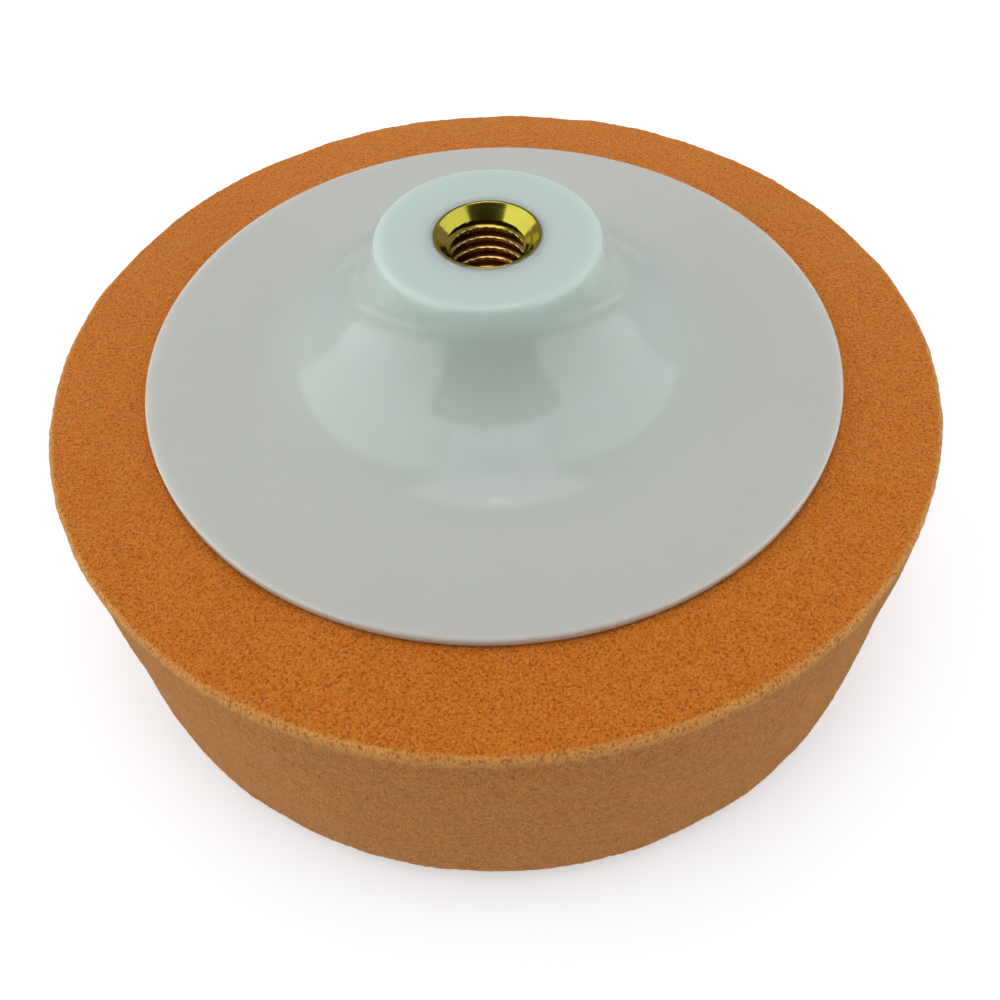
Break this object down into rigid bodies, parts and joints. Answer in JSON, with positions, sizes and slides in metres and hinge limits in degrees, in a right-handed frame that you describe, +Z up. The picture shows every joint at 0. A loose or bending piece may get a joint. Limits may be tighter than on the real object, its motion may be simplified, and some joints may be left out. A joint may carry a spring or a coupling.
{
  "type": "polishing pad",
  "caption": "Thick round foam polishing pad glued to a moulded plastic backing plate with a domed hub and a threaded brass insert for a polisher spindle.",
  "frame": {"origin": "centre of the foam's flat working face, which the pad lies on", "axes": "+Z up the pad's axis, out of the hub's threaded mouth; the pad is round, so +X and +Y are free"},
  "size_m": [0.15, 0.15, 0.074],
  "materials": {
    "open_cell_foam": "matte open-cell polyurethane foam",
    "set_adhesive": "clear amber contact adhesive",
    "moulded_plastic": "milky white injection moulded, smooth gloss",
    "turned_brass": "turned and tapped, bright"
  },
  "bodies": {
    "root": {"foam_pad": "open_cell_foam", "adhesive_layer": "set_adhesive", "backing_plate": "moulded_plastic", "threaded_insert": "turned_brass"}
  },
  "joints": []
}
